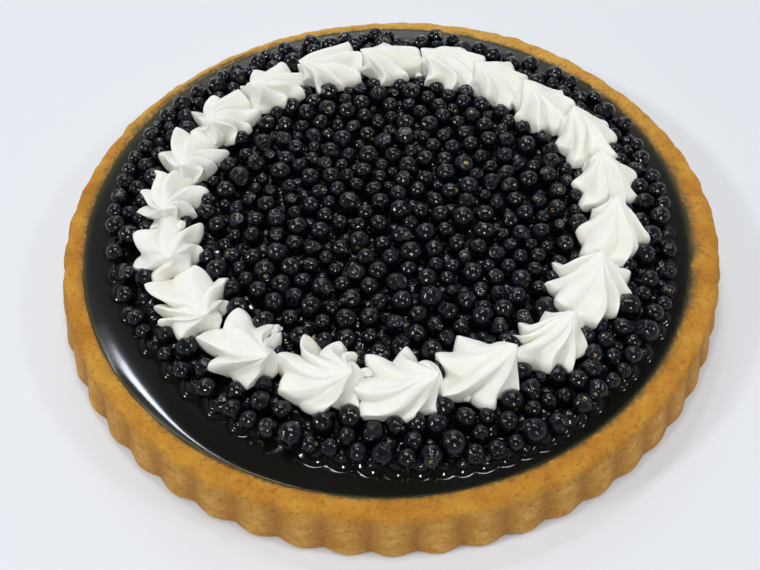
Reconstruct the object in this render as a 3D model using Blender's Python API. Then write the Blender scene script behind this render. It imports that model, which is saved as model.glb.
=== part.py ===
"""Blueberry cream cake: a fluted sponge case filled with dark fruit jelly, with a heap of
small blueberries set in the jelly and a ring of piped cream shells on the berries.
The origin is the middle of the flat base, +Z is up, and the front of the cake faces -Y."""

import math
import random

import bmesh
import bpy
from mathutils import Matrix, Vector

MM = 0.001
GAP = 0.3 * MM

# Sponge case
BASE_RADIUS = 148.2 * MM
RIM_RADIUS = 144.6 * MM
RIM_EDGE_HEIGHT = 15.0 * MM
OUTER_SHOULDER_INSET = 1.8 * MM
OUTER_SHOULDER_DROP = 2.6 * MM
CREST_RADIUS = 138.6 * MM
CREST_HEIGHT = 21.8 * MM
INNER_SHOULDER_INSET = 3.4 * MM
INNER_SHOULDER_DROP = 0.7 * MM
INNER_RADIUS = 132.8 * MM
RECESS_SLOPE = 1.2 * MM
FLOOR_HEIGHT = 14.0 * MM
CASE_SHIFT = 0.9 * MM
CASE_STRETCH = 0.5 * MM

# Flutes of the case
FLUTES = 54
FACES_PER_FLUTE = 4
FLUTE_ROUNDNESS = 1.3
FLUTE_DEPTH_BASE = 2.0 * MM
FLUTE_DEPTH_RIM = 1.3 * MM
FLUTE_DEPTH_CREST = 0.3 * MM
FLUTE_START = math.radians(-0.3)
FLUTE_DRIFT = math.radians(3.3)

# Fruit jelly
JELLY_LEVEL = 20.0 * MM
JELLY_FACES = 72
JELLY_MARGIN = 0.5 * MM

# Berry heap
HEAP_RADIUS = 123.5 * MM
HEAP_SHIFT = 2.5 * MM
HEAP_SHIFT_BEARING = math.radians(40.0)
HEAP_FACES = 48
HEAP_BOTTOM = JELLY_LEVEL + GAP
HEAP_ROOT = 5.0 * MM
HEAP_LAND = 24.0 * MM
HEAP_LAND_RADIUS = 113.0 * MM
BERRY_SMALL = 3.2 * MM
BERRY_LARGE = 4.4 * MM
BERRY_FACES = 6
BERRY_RINGS = 4
BERRY_COUNT = 236
BERRY_CLEARANCE = 0.3 * MM
BERRY_SINK = 0.35 * MM
BERRY_TRIES = 10000
INNER_BERRIES = 88.0 * MM
OUTER_BERRIES = 102.0 * MM
SEED = 3

# Cream shells: bearing of the shell on the ring (degrees), distance from the axis (mm), number
# of petals, bearing of the first petal (degrees, 0 outward, 90 along the ring), and how far the
# peak leans along the ring (mm). They go anticlockwise from the cake's right side.
SHELLS = (
    (4, 97, 7, 15, 10),
    (22, 100, 7, 20, 10),
    (37, 94, 7, 2, 11),
    (53, 93, 7, 15, 11),
    (70, 94, 7, 44, 13),
    (88, 93, 7, 8, 12),
    (107, 95, 8, 12, 14),
    (125, 94, 7, 0, 9),
    (145, 93, 8, 15, 7),
    (162, 92, 7, 10, 8),
    (178, 95, 7, 5, 10),
    (195, 95, 7, 10, 8),
    (214, 95, 7, 356, 11),
    (233, 95, 6, 47, 12),
    (253, 92, 8, 20, 10),
    (272, 94, 7, 14, 12),
    (291, 94, 6, 346, 12),
    (310, 97, 8, 32, 8),
    (329, 94, 8, 12, 8),
    (347, 97, 7, 22, 12),
)
SHELL_RINGS = 7
RINGS_ABOVE_LIP = 5
SHELL_BASE = HEAP_LAND + GAP
SHELL_HEIGHT = 15.0 * MM
PETAL_REACH = 16.2 * MM
PETAL_REACH_BEHIND = 6.0 * MM
PETAL_REACH_AHEAD = -1.5 * MM
PETAL_VARIATION = 0.07
PETAL_LIP = 3.2 * MM
VALLEY_DEPTH = 0.36
VALLEY_DROP = 2.2 * MM
SHELL_TWIST = math.radians(24.0)
NEIGHBOUR_GAP = 0.25 * MM

# How the cream narrows to its peak, rises to it and leans, and how it tucks in below the lip
TAPER = 1.15
SWELL = 0.9
LEAN_CURVE = 1.3
TUCK = 0.6
UNDERSIDE = 1.5


def clear_scene():
    """Remove whatever the open file holds."""
    for item in list(bpy.data.objects):
        bpy.data.objects.remove(item, do_unlink=True)


def make_material(name, colour, roughness):
    """A Principled material of one colour."""
    material = bpy.data.materials.new(name)
    material.use_nodes = True
    shader = material.node_tree.nodes["Principled BSDF"]
    shader.inputs["Base Color"].default_value = (*colour, 1.0)
    shader.inputs["Roughness"].default_value = roughness
    shader.inputs["Metallic"].default_value = 0.0
    material.diffuse_color = (*colour, 1.0)
    return material


def add_object(name, bm, collection, material, sharp_angle=40.0):
    """Store a bmesh as a smooth shaded object of the collection."""
    mesh = bpy.data.meshes.new(name)
    bm.to_mesh(mesh)
    bm.free()
    mesh.shade_smooth()
    mesh.set_sharp_from_angle(angle=math.radians(sharp_angle))
    mesh.materials.append(material)
    item = bpy.data.objects.new(name, mesh)
    collection.objects.link(item)
    return item


def turned(profile, faces):
    """Spin a profile of (radius, height) points about Z. Its two ends lie on the axis."""
    bm = bmesh.new()
    points = [bm.verts.new((radius, 0.0, height)) for radius, height in profile]
    edges = [bm.edges.new(pair) for pair in zip(points, points[1:])]
    bmesh.ops.spin(
        bm,
        geom=points + edges,
        cent=(0.0, 0.0, 0.0),
        axis=(0.0, 0.0, 1.0),
        angle=math.tau,
        steps=faces,
        use_merge=True,
    )
    bmesh.ops.remove_doubles(bm, verts=bm.verts, dist=0.01 * MM)
    bmesh.ops.recalc_face_normals(bm, faces=bm.faces)
    return bm


def move_out(vert, distance):
    """Move a point level, straight away from the axis."""
    radius = math.hypot(vert.co.x, vert.co.y)
    vert.co.x *= 1.0 + distance / radius
    vert.co.y *= 1.0 + distance / radius


def unevenness(bearing):
    """How far the recess strays from a true circle, as the case is soft and filled by hand."""
    return -CASE_SHIFT * math.cos(bearing) - CASE_STRETCH * math.cos(2.0 * bearing)


def flute(bearing):
    """Depth of the flutes round the case: 0 on a rounded lobe, 1 at a notch.
    They drift a little along the front, where the soft case has stretched."""
    front = max(0.0, -math.sin(bearing)) ** 2
    turn = bearing - FLUTE_START - FLUTE_DRIFT * front
    return 1.0 - abs(math.cos(0.5 * FLUTES * turn)) ** FLUTE_ROUNDNESS


def flute_depth(radius, height):
    """The flutes are deepest at the base and fade out over the rounded rim."""
    if radius < CREST_RADIUS - GAP:
        return 0.0
    if height <= RIM_EDGE_HEIGHT:
        return FLUTE_DEPTH_BASE + (FLUTE_DEPTH_RIM - FLUTE_DEPTH_BASE) * height / RIM_EDGE_HEIGHT
    share = (height - RIM_EDGE_HEIGHT) / (CREST_HEIGHT - RIM_EDGE_HEIGHT)
    return FLUTE_DEPTH_RIM + (FLUTE_DEPTH_CREST - FLUTE_DEPTH_RIM) * share


def make_case(collection, material):
    """The sponge case: flat base, fluted wall, rounded rim and a shallow recess."""
    profile = (
        (0.0, 0.0),
        (BASE_RADIUS, 0.0),
        (RIM_RADIUS, RIM_EDGE_HEIGHT),
        (RIM_RADIUS - OUTER_SHOULDER_INSET, CREST_HEIGHT - OUTER_SHOULDER_DROP),
        (CREST_RADIUS, CREST_HEIGHT),
        (CREST_RADIUS - INNER_SHOULDER_INSET, CREST_HEIGHT - INNER_SHOULDER_DROP),
        (INNER_RADIUS, JELLY_LEVEL),
        (INNER_RADIUS - RECESS_SLOPE, FLOOR_HEIGHT),
        (0.0, FLOOR_HEIGHT),
    )
    bm = turned(profile, FLUTES * FACES_PER_FLUTE)
    for vert in bm.verts:
        radius = math.hypot(vert.co.x, vert.co.y)
        if radius < MM:
            continue
        bearing = math.atan2(vert.co.y, vert.co.x)
        if radius < INNER_RADIUS + GAP:
            move_out(vert, unevenness(bearing))
        else:
            move_out(vert, -flute_depth(radius, vert.co.z) * flute(bearing))
    return add_object("sponge_case", bm, collection, material)


def make_jelly(collection, material):
    """The set fruit jelly, a shallow disc that fills the recess up to its level."""
    top = INNER_RADIUS - JELLY_MARGIN
    profile = (
        (0.0, FLOOR_HEIGHT + GAP),
        (top - RECESS_SLOPE, FLOOR_HEIGHT + GAP),
        (top, JELLY_LEVEL),
        (0.0, JELLY_LEVEL),
    )
    bm = turned(profile, JELLY_FACES)
    for vert in bm.verts:
        if math.hypot(vert.co.x, vert.co.y) > MM:
            move_out(vert, unevenness(math.atan2(vert.co.y, vert.co.x)))
    return add_object("fruit_jelly", bm, collection, material)


def petal_reach(bearing):
    """Reach of a petal: long behind the shell, where the piping starts, and short ahead."""
    along = math.sin(bearing)
    extra = PETAL_REACH_AHEAD * along if along > 0.0 else -PETAL_REACH_BEHIND * along
    return PETAL_REACH + extra


def petal_vary(shell, petal):
    """A small change of reach from petal to petal, the same each time."""
    return 1.0 + PETAL_VARIATION * math.sin(12.9 * shell + 78.2 * petal)


def outline(shell, bearing):
    """Plan distance from a shell's middle to its edge, and how far up a ridge this is."""
    petals, first = SHELLS[shell][2], math.radians(SHELLS[shell][3])
    turns = (bearing - first) * petals / math.tau
    ridge = 0.5 + 0.5 * math.cos(math.tau * turns)
    reach = petal_reach(bearing) * petal_vary(shell, round(turns) % petals)
    return reach * (1.0 - VALLEY_DEPTH * (1.0 - ridge)), ridge


def squeeze(value, low, high):
    """Bring a value smoothly within two limits, without changing the order of values."""
    limit = high if value > 0.0 else -low
    return value / (1.0 + abs(value / limit) ** 8) ** 0.125


def neighbours(shell):
    """Bearings half-way to the shell behind and to the shell ahead, from this one."""
    here = SHELLS[shell][0]
    behind = (here - SHELLS[shell - 1][0]) % 360
    ahead = (SHELLS[(shell + 1) % len(SHELLS)][0] - here) % 360
    return math.radians(-0.5 * behind), math.radians(0.5 * ahead)


def place_on_ring(shell, outward, along):
    """Point in plan of a shell's own outward and along-the-ring distances."""
    clock, distance = math.radians(SHELLS[shell][0]), SHELLS[shell][1] * MM
    radius = math.hypot(distance + outward, along)
    turn = math.atan2(along, distance + outward)
    low, high = neighbours(shell)
    spare = NEIGHBOUR_GAP / radius
    turn = squeeze(turn, low + spare, high - spare)
    return radius * math.cos(clock + turn), radius * math.sin(clock + turn)


def ring_level(level):
    """Share the rings of an even sphere out so that most of them lie above the petals' lip."""
    ring = math.acos(max(-1.0, min(1.0, level))) * SHELL_RINGS / math.pi
    if ring <= RINGS_ABOVE_LIP:
        return math.cos(0.5 * math.pi * ring / RINGS_ABOVE_LIP)
    share = (ring - RINGS_ABOVE_LIP) / (SHELL_RINGS - RINGS_ABOVE_LIP)
    return -math.sin(0.5 * math.pi * share)


def make_shell(shell, collection, material):
    """One shell of piped cream: petals that fan from a peak pulled along the ring."""
    petals, first = SHELLS[shell][2], math.radians(SHELLS[shell][3])
    lean = SHELLS[shell][4] * MM
    bm = bmesh.new()
    turn = Matrix.Rotation(first - 0.5 * math.pi, 4, "Z")
    bmesh.ops.create_uvsphere(
        bm, u_segments=2 * petals, v_segments=SHELL_RINGS, radius=1.0, matrix=turn
    )
    for vert in bm.verts:
        up = ring_level(vert.co.z)
        wide = math.sqrt(max(0.0, 1.0 - up * up))
        bearing = math.atan2(vert.co.y, vert.co.x)
        edge, ridge = outline(shell, bearing)
        if up >= 0.0:
            spread = edge * wide ** TAPER
            rise = PETAL_LIP + (SHELL_HEIGHT - PETAL_LIP) * up ** SWELL
            rise -= VALLEY_DROP * (1.0 - ridge) * wide
            shift = lean * up ** LEAN_CURVE
            twisted = bearing + SHELL_TWIST * up
        else:
            spread = edge * wide ** TUCK
            rise = PETAL_LIP * (1.0 + up) ** UNDERSIDE
            shift = 0.0
            twisted = bearing
        outward = spread * math.cos(twisted)
        along = spread * math.sin(twisted) + shift
        x, y = place_on_ring(shell, outward, along)
        vert.co = Vector((x, y, SHELL_BASE + rise))
    return add_object("cream_shell_%02d" % (shell + 1), bm, collection, material, 60.0)


def heap_surface(radius):
    """Height of the heap's bare core at a distance from its middle."""
    share = (HEAP_RADIUS - radius) / (HEAP_RADIUS - HEAP_LAND_RADIUS)
    return HEAP_BOTTOM + (HEAP_LAND - HEAP_BOTTOM) * min(1.0, share)


def clear_of_shells(x, y, radius):
    """Whether a berry stands beside every shell in plan, in the valleys between petals too."""
    sides = 8
    for shell, row in enumerate(SHELLS):
        clock, distance = math.radians(row[0]), row[1] * MM
        outward = x * math.cos(clock) + y * math.sin(clock) - distance
        along = y * math.cos(clock) - x * math.sin(clock)
        if math.hypot(outward, along) > PETAL_REACH + PETAL_REACH_BEHIND + 3.0 * radius:
            continue
        for side in range(sides):
            turn = math.tau * side / sides
            near_out = outward + (radius + BERRY_CLEARANCE) * math.cos(turn)
            near_along = along + (radius + BERRY_CLEARANCE) * math.sin(turn)
            edge, ridge = outline(shell, math.atan2(near_along, near_out))
            if math.hypot(near_out, near_along) < edge + BERRY_CLEARANCE:
                return False
    return True


def berry_places(middle):
    """Berries that show, the largest first, spread evenly inside and outside the cream ring."""
    rng = random.Random(SEED)
    places = []
    for attempt in range(BERRY_TRIES):
        if len(places) == BERRY_COUNT:
            break
        radius = BERRY_LARGE + (BERRY_SMALL - BERRY_LARGE) * attempt / BERRY_TRIES
        inside = (0.0, INNER_BERRIES)
        outside = (OUTER_BERRIES, HEAP_RADIUS - radius - BERRY_CLEARANCE)
        low, high = outside if attempt % 2 else inside
        far = math.sqrt(rng.uniform(low ** 2, high ** 2))
        bearing = rng.uniform(0.0, math.tau)
        x = middle.x + far * math.cos(bearing)
        y = middle.y + far * math.sin(bearing)
        spaced = all(
            math.hypot(x - other.x, y - other.y) > radius + size + BERRY_CLEARANCE
            for other, size in places
        )
        if spaced and clear_of_shells(x, y, radius):
            places.append((Vector((x, y, heap_surface(far) - BERRY_SINK)), radius))
    return places


def make_heap(collection, workshop, material):
    """The berry heap: a low core with the berries that show fused on, cut flat underneath."""
    middle = Vector((math.cos(HEAP_SHIFT_BEARING), math.sin(HEAP_SHIFT_BEARING), 0.0)) * HEAP_SHIFT
    spread = (HEAP_RADIUS - HEAP_LAND_RADIUS) / (HEAP_LAND - HEAP_BOTTOM)
    root = HEAP_BOTTOM - HEAP_ROOT
    bm = bmesh.new()
    bmesh.ops.create_cone(
        bm,
        cap_ends=True,
        segments=HEAP_FACES,
        radius1=HEAP_RADIUS + spread * HEAP_ROOT,
        radius2=HEAP_LAND_RADIUS,
        depth=HEAP_LAND - root,
        matrix=Matrix.Translation(middle + Vector((0.0, 0.0, 0.5 * (HEAP_LAND + root)))),
    )
    heap = add_object("berry_heap", bm, collection, material)

    rng = random.Random(SEED + 1)
    for place, radius in berry_places(middle):
        berry = bmesh.new()
        spin = Matrix.Rotation(rng.uniform(0.0, math.tau), 4, "Z")
        bmesh.ops.create_uvsphere(
            berry,
            u_segments=BERRY_FACES,
            v_segments=BERRY_RINGS,
            radius=radius,
            matrix=Matrix.Translation(place) @ spin,
        )
        add_object("berry", berry, workshop, material)

    fuse = heap.modifiers.new("fuse berries", "BOOLEAN")
    fuse.operation = "UNION"
    fuse.operand_type = "COLLECTION"
    fuse.collection = workshop
    fuse.solver = "MANIFOLD"
    fused = bpy.data.meshes.new_from_object(heap.evaluated_get(bpy.context.evaluated_depsgraph_get()))
    heap.modifiers.remove(fuse)
    heap.data = fused
    for berry in list(workshop.objects):
        bpy.data.objects.remove(berry, do_unlink=True)

    bm = bmesh.new()
    bm.from_mesh(fused)
    everything = bm.verts[:] + bm.edges[:] + bm.faces[:]
    bmesh.ops.bisect_plane(
        bm,
        geom=everything,
        dist=0.001 * MM,
        plane_co=(0.0, 0.0, HEAP_BOTTOM),
        plane_no=(0.0, 0.0, -1.0),
        clear_outer=True,
    )
    rim = [edge for edge in bm.edges if edge.is_boundary]
    bmesh.ops.contextual_create(bm, geom=rim)
    bm.to_mesh(fused)
    bm.free()
    return heap


def build():
    """Model the cake from the case up."""
    clear_scene()
    scene = bpy.context.scene
    cake = bpy.data.collections.new("blueberry_cream_cake")
    scene.collection.children.link(cake)
    workshop = bpy.data.collections.new("workshop")
    scene.collection.children.link(workshop)

    sponge = make_material("baked sponge", (0.50, 0.25, 0.06), 0.85)
    jelly = make_material("dark fruit jelly", (0.012, 0.013, 0.015), 0.12)
    berries = make_material("blueberry skin", (0.018, 0.020, 0.045), 0.30)
    cream = make_material("whipped cream", (0.86, 0.85, 0.78), 0.55)

    make_case(cake, sponge)
    make_jelly(cake, jelly)
    make_heap(cake, workshop, berries)
    for shell in range(len(SHELLS)):
        make_shell(shell, cake, cream)
    bpy.data.collections.remove(workshop)


build()
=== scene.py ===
import math

import bpy
import numpy as np
from mathutils import Matrix, Vector, noise


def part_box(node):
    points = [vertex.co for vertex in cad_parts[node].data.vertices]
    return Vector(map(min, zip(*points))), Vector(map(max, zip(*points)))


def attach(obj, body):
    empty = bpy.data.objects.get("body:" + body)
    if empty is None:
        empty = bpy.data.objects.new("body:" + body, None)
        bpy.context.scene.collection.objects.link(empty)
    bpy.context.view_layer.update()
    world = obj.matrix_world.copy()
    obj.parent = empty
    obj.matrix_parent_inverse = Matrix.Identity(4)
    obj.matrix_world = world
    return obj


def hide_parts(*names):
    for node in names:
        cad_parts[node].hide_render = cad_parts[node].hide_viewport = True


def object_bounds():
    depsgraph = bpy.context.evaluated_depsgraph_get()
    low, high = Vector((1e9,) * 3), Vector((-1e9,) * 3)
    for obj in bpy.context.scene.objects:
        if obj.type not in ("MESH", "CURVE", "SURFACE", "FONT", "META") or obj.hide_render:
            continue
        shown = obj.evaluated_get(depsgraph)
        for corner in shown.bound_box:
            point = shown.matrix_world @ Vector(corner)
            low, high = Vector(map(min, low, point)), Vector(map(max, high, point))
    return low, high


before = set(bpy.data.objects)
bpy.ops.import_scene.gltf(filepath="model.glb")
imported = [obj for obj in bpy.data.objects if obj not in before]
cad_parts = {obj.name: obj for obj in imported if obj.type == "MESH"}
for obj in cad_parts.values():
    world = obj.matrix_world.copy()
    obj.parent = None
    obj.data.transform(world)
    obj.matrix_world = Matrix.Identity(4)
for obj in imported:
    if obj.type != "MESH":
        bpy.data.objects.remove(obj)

cad_low, cad_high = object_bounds()

# Sponge case
# A round flan case of yellow sponge, baked upside down in a fluted tin, so its wall keeps the
# tin's flutes and its rim is smooth and evenly browned. It stands on its flat base, and its
# shallow recess holds the jelly, which has soaked into the inner slope.

MM = 0.001
JELLY_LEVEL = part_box("fruit_jelly")[1].z
RIM_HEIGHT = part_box("sponge_case")[1].z
BASE_RADIUS = 148.2 * MM
CREST_RADIUS = 138.6 * MM
RIM_EDGE_HEIGHT = 15.0 * MM
RECESS_RADIUS = 132.8 * MM
RECESS_SHIFT = 0.9 * MM
RECESS_STRETCH = 0.5 * MM
RECESS_DEPTH = 14.5 * MM
LINE_STEPS = 5
FLUTES = 54
COLUMNS_PER_FLUTE = 22
FLUTE_ROUNDNESS = 1.3
FLUTE_START = math.radians(-0.3)
FLUTE_DRIFT = math.radians(3.3)
FLUTE_DEPTH_BASE = 2.0 * MM
FLUTE_DEPTH_RIM = 1.3 * MM

# On the right the flutes are worn flatter, by this share at most
WEAR = 0.35
WEAR_BEARING = math.radians(320)
WEAR_SPREAD = math.radians(32)

# How far the rim swells out, and how far it has sunk, as (bearing in degrees, mm): it bulges on
# the right, and behind it is thinner and lower
RIM_BULGE = (
    (0, 2.0), (15, 1.4), (27, 0.2), (42, -0.7), (60, -0.1), (80, -0.9), (100, -1.5), (132, -1.2),
    (150, -0.6), (165, 0.0), (182, 0.2), (300, 0.0), (330, 0.5), (345, 1.7), (360, 2.0),
)
RIM_SINK = ((0, 0.0), (60, 0.2), (90, 0.9), (135, 0.9), (165, 0.3), (200, 0.0), (360, 0.0))
BULGE_START = 9.0 * MM
BULGE_INWARD = 3.0 * MM
SINK_START = 17.0 * MM
SINK_RISE = 4.0 * MM

# Baked sponge isn't true: its wall and rim swell and dip, as (height in mm, width in mm, seed),
# above a foot that the baking sheet kept flat
CASE_SWELLS = ((0.38, 13.0, 3.1), (0.22, 5.0, 7.7), (0.13, 1.8, 9.3))
RIM_SWELLS = ((0.35, 4.5, 12.1),)
FOOT_HEIGHT = 3.0 * MM
CASE_INSET = 0.5 * MM

# How far the jelly's dark stain reaches out over the inner slope, as (bearing in degrees, mm): it
# is widest behind on the left. Blotches, as (share, width in mm, seed), break up its edge
STAIN_REACH = (
    (0, 4.4), (20, 3.0), (60, 2.2), (90, 2.0), (112, 3.0), (123, 7.0), (131, 9.5), (140, 7.5),
    (149, 4.6), (162, 2.8), (180, 2.3), (220, 1.6), (300, 1.6), (330, 3.0), (350, 4.2), (360, 4.4),
)
STAIN_BLOTCHES = ((0.6, 7.0, 6.6), (0.8, 1.7, 7.9))
STAIN_START = 0.5 * MM
BROWNING_START = 16.5 * MM
BROWNING_RISE = 3.5 * MM


def linear(code):
    """An sRGB hex colour as linear RGBA."""
    shares = [int(code[at:at + 2], 16) / 255.0 for at in (1, 3, 5)]
    return tuple(s / 12.92 if s <= 0.04045 else ((s + 0.055) / 1.055) ** 2.4 for s in shares) + (1.0,)


def add_node(owner, kind, settings, links, stops=()):
    """Add one node. Links give each input a value or an output, and stops fill a colour ramp."""
    node = owner.node_tree.nodes.new(kind)
    for name, value in settings.items():
        setattr(node, name, value)
    for name, value in links.items():
        if isinstance(value, bpy.types.NodeSocket):
            owner.node_tree.links.new(value, node.inputs[name])
        else:
            node.inputs[name].default_value = value
    for at, (position, code) in enumerate(stops):
        bands = node.color_ramp.elements
        band = bands[at] if at < 2 else bands.new(position)
        band.position = position
        band.color = linear(code)
    return node


def new_material(name):
    """An empty material, and its Principled shader already joined to the output."""
    material = bpy.data.materials.new(name)
    material.use_nodes = True
    return material, material.node_tree.nodes["Principled BSDF"]


def grain(size):
    """The scale that gives a pattern of this size in an object's own coordinates."""
    return 1.0 / size


def add_piece(name, points, faces, material, nodes, fields=None):
    """A smooth shaded mesh piece that rides on the cake and stands for the CAD nodes given."""
    mesh = bpy.data.meshes.new(name)
    mesh.from_pydata(points.tolist(), [], faces)
    for field, values in (fields or {}).items():
        attribute = mesh.attributes.new(field, "FLOAT", "POINT")
        attribute.data.foreach_set("value", np.asarray(values, np.float32).ravel())
    mesh.shade_smooth()
    mesh.materials.append(material)
    piece = bpy.data.objects.new(name, mesh)
    bpy.context.scene.collection.objects.link(piece)
    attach(piece, "root")
    if nodes:
        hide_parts(*nodes)


def ring_faces(rows, columns, flip=False):
    """Quads between successive closed rings of points, and fans to a first and a last point."""
    faces = []
    first, last = rows * columns, rows * columns + 1
    for row in range(rows - 1):
        for column in range(columns):
            after = (column + 1) % columns
            faces.append((row * columns + column, row * columns + after,
                          (row + 1) * columns + after, (row + 1) * columns + column))
    for column in range(columns):
        after = (column + 1) % columns
        faces.append((first, after, column))
        faces.append((last, (rows - 1) * columns + column, (rows - 1) * columns + after))
    return [face[::-1] for face in faces] if flip else faces


def smooth_line(points, steps):
    """A Catmull-Rom curve through points, with this many steps between each two."""
    points = np.array(points)
    padded = np.vstack((2 * points[0] - points[1], points, 2 * points[-1] - points[-2]))
    share = np.linspace(0.0, 1.0, steps, endpoint=False)[:, None]
    spans = []
    for a, b, c, d in zip(padded, padded[1:], padded[2:], padded[3:]):
        spans.append(0.5 * (2 * b + (c - a) * share + (2 * a - 5 * b + 4 * c - d) * share ** 2
                            + (3 * b - a - 3 * c + d) * share ** 3))
    return np.vstack(spans + [points[-1:]])


def smooth_step(share):
    """Ease a share from 0 to 1, level at both ends."""
    return share * share * (3.0 - 2.0 * share)


def by_bearing(table, bearing):
    """Read a table of (bearing in degrees, value) rows from 0 to 360 at bearings in radians."""
    degrees, values = zip(*table)
    return np.interp(np.degrees(bearing) % 360.0, degrees, values)


def lumps(points, size, seed):
    """Smooth random heights from -1 to 1 at points, with swells of the given size."""
    offset = Vector((seed, 2.0 * seed, 3.0 * seed))
    return np.array([noise.noise(Vector(point) / size + offset) for point in points])


def swells(points, table):
    """The sum of lumps at points, for rows of (height, width in mm, seed)."""
    return sum(tall * lumps(points, wide * MM, seed) for tall, wide, seed in table)


def recess_edge(bearing):
    """Radius of the recess, which the soft case and the filling by hand leave uneven."""
    return RECESS_RADIUS - RECESS_SHIFT * np.cos(bearing) - RECESS_STRETCH * np.cos(2 * bearing)


def flute(bearing):
    """Depth of the flutes: 0 on a rounded lobe, 1 at a notch."""
    front = np.maximum(0.0, -np.sin(bearing)) ** 2
    turn = bearing - FLUTE_START - FLUTE_DRIFT * front
    return 1.0 - np.abs(np.cos(0.5 * FLUTES * turn)) ** FLUTE_ROUNDNESS


case_columns = FLUTES * COLUMNS_PER_FLUTE
bearings = np.linspace(0.0, math.tau, case_columns, endpoint=False)

# The case's section, as (radius, height), from the foot up the wall and over into the recess
case_line = smooth_line(
    (
        (BASE_RADIUS - 0.9 * MM, 0.0),
        (BASE_RADIUS - 0.1 * MM, 0.8 * MM),
        (BASE_RADIUS - 0.7 * MM, 4.0 * MM),
        (BASE_RADIUS - 2.2 * MM, 9.5 * MM),
        (BASE_RADIUS - 3.7 * MM, RIM_EDGE_HEIGHT),
        (CREST_RADIUS + 4.3 * MM, RIM_HEIGHT - 2.6 * MM),
        (CREST_RADIUS + 3.0 * MM, RIM_HEIGHT - 0.9 * MM),
        (CREST_RADIUS, RIM_HEIGHT - 0.25 * MM),
        (CREST_RADIUS - 3.2 * MM, RIM_HEIGHT - 0.8 * MM),
        (RECESS_RADIUS + 0.7 * MM, JELLY_LEVEL + 0.5 * MM),
        (RECESS_RADIUS, JELLY_LEVEL - 1.2 * MM),
        (RECESS_RADIUS - 1.1 * MM, RECESS_DEPTH),
    ),
    LINE_STEPS,
)
line_radius, line_height = case_line[:, :1], case_line[:, 1:]
outer = np.arange(len(case_line))[:, None] <= np.argmax(line_height)
below_crest = np.clip((RIM_HEIGHT - line_height) / (RIM_HEIGHT - RIM_EDGE_HEIGHT), 0.0, 1.0)
wall_depth = FLUTE_DEPTH_BASE + (FLUTE_DEPTH_RIM - FLUTE_DEPTH_BASE) * line_height / RIM_EDGE_HEIGHT
depth = np.where(line_height <= RIM_EDGE_HEIGHT, wall_depth, FLUTE_DEPTH_RIM * np.sqrt(below_crest))
notch = flute(bearings)[None, :] * np.ones_like(line_radius)
worn = 1.0 - WEAR * np.exp(-((bearings - WEAR_BEARING) / WEAR_SPREAD) ** 2)
radii = line_radius - np.where(outer, depth, 0.0) * notch * worn
down_slope = np.clip((CREST_RADIUS - line_radius) / (CREST_RADIUS - RECESS_RADIUS), 0.0, 1.0)
radii = radii + np.where(outer, 0.0, down_slope) * (recess_edge(bearings) - RECESS_RADIUS)[None, :]

near_rim = np.clip((line_height - BULGE_START) / (RIM_HEIGHT - BULGE_START - BULGE_INWARD), 0.0, 1.0)
near_rim = near_rim * np.clip((line_radius - CREST_RADIUS + BULGE_INWARD) / (2.0 * BULGE_INWARD), 0.0, 1.0)
near_rim = near_rim * np.ones_like(radii)
radii = radii + near_rim * by_bearing(RIM_BULGE, bearings) * MM
sunk = np.clip((line_height - SINK_START) / SINK_RISE, 0.0, 1.0) * by_bearing(RIM_SINK, bearings) * MM
heights = line_height - sunk
case_points = np.stack((radii * np.cos(bearings), radii * np.sin(bearings), heights), axis=-1)
case_points = case_points.reshape(-1, 3)

# The swells move the wall in and out, and the rim a little up and down as well
swell = swells(case_points, CASE_SWELLS) + near_rim.ravel() * swells(case_points, RIM_SWELLS)
swell *= MM * np.repeat(np.clip(line_height[:, 0] / FOOT_HEIGHT, 0.0, 1.0), case_columns)
from_axis = np.hypot(case_points[:, 0], case_points[:, 1])
case_points[:, :2] *= (1.0 + (swell - CASE_INSET) / from_axis)[:, None]
case_points[:, 2] += np.where(case_points[:, 2] > RIM_EDGE_HEIGHT, 0.7 * swell - 0.1 * MM, 0.0)

blotches = np.clip(1.0 + swells(case_points, STAIN_BLOTCHES).reshape(radii.shape), 0.2, 2.0)
stain_reach = by_bearing(STAIN_REACH, bearings) * blotches * MM
past_edge = radii - recess_edge(bearings)[None, :] - STAIN_START
stain = np.clip(1.1 - past_edge / stain_reach, 0.0, 1.0) * (~outer)
browned = np.where(outer, np.clip((heights - BROWNING_START) / BROWNING_RISE, 0.0, 1.0), 1.0)
case_points = np.vstack((case_points, (0.0, 0.0, 0.0), (0.0, 0.0, RECESS_DEPTH)))
# The notch field also carries the painted shade in the flutes' notches
case_fields = {
    "notch": np.append(notch * outer, (0, 0)),
    "stain": np.append(stain, (0, 0)),
    "rim": np.append(browned, (0, 0)),
}

# Baked sponge: matt, golden and evenly browned on the rim, and duller and smeared where the wall
# met the tin. Brown specks and paler crumbs mottle it, and where jelly has stained it, it is wet
# and shines. Towards the back the rim is painted paler and yellower, a painted light where light
# from behind falls on it, and the notches of the flutes are painted a darker brown, a painted
# shade in their hollows. Its real pores are about 0.3 mm wide, too fine to show here, so they,
# and the crumbs with them, are drawn three times as coarse.
BAKE_PATCH = 11.0 * MM
TIN_SMEAR = 7.0 * MM
SPECK = 1.7 * MM
CRUMB = 1.0 * MM
PORE = 0.9 * MM
PORE_DEPTH = 0.7 * MM
# A Mix node has sockets for each kind of value: for colours, 0 is the share, 6 and 7 the colours
# that it mixes, and output 2 the result
COLOURS = {"data_type": "RGBA"}

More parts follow.
